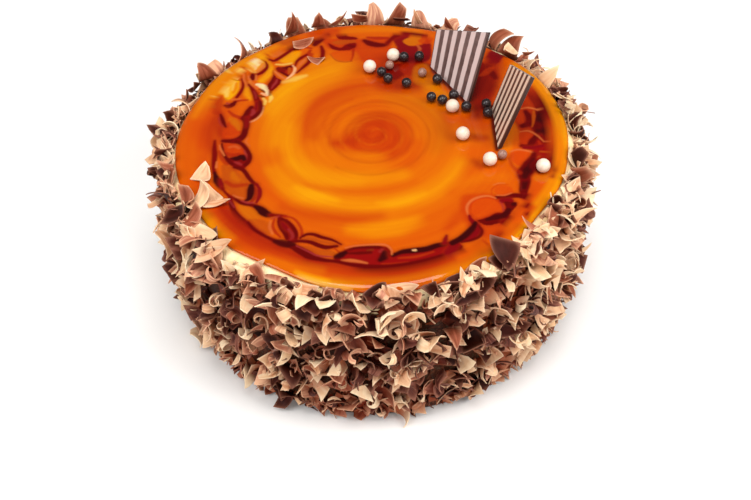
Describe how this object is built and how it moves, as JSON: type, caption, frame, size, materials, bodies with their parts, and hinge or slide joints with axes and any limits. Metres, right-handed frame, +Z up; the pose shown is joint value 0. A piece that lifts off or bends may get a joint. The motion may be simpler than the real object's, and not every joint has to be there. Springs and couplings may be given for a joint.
{
  "type": "eggless butterscotch cake",
  "caption": "Round uncut cream cake with a glossy caramel glaze on top, curled chocolate shavings round its side, and striped chocolate plates and sugar pearls standing on the glaze.",
  "frame": {"origin": "centre of the cake's flat base", "axes": "+Z up through the cake, -Y towards the viewer, the striped plates stand at +X +Y"},
  "size_m": [0.2364, 0.2366, 0.1354],
  "materials": {
    "whipped_cream": "soft whipped cream, matt to satin, under chocolate shavings",
    "caramel_glaze": "poured mirror glaze, amber marbled with dark red-brown, very glossy",
    "white_chocolate": "satin cream-white chocolate",
    "milk_chocolate": "satin pinkish-brown milk chocolate",
    "dark_chocolate": "satin to glossy dark chocolate",
    "striped_chocolate": "satin dark chocolate with cream-white stripes"
  },
  "bodies": {
    "root": {"cake": "whipped_cream", "glaze": "caramel_glaze", "striped_plate_1": "striped_chocolate", "striped_plate_2": "striped_chocolate", "white_pearl_1": "white_chocolate", "white_pearl_2": "white_chocolate", "white_pearl_3": "white_chocolate", "white_pearl_4": "white_chocolate", "white_pearl_5": "white_chocolate", "white_pearl_6": "white_chocolate", "dark_pearl_1": "dark_chocolate", "dark_pearl_2": "dark_chocolate", "dark_pearl_3": "dark_chocolate", "dark_pearl_4": "dark_chocolate", "dark_pearl_5": "dark_chocolate", "dark_pearl_6": "dark_chocolate", "dark_pearl_7": "dark_chocolate", "dark_pearl_8": "dark_chocolate", "dark_pearl_9": "dark_chocolate", "dark_pearl_10": "dark_chocolate", "dark_pearl_11": "dark_chocolate", "dark_pearl_12": "dark_chocolate", "milk_pearl_1": "milk_chocolate", "milk_pearl_2": "milk_chocolate", "milk_pearl_3": "milk_chocolate"}
  },
  "joints": []
}
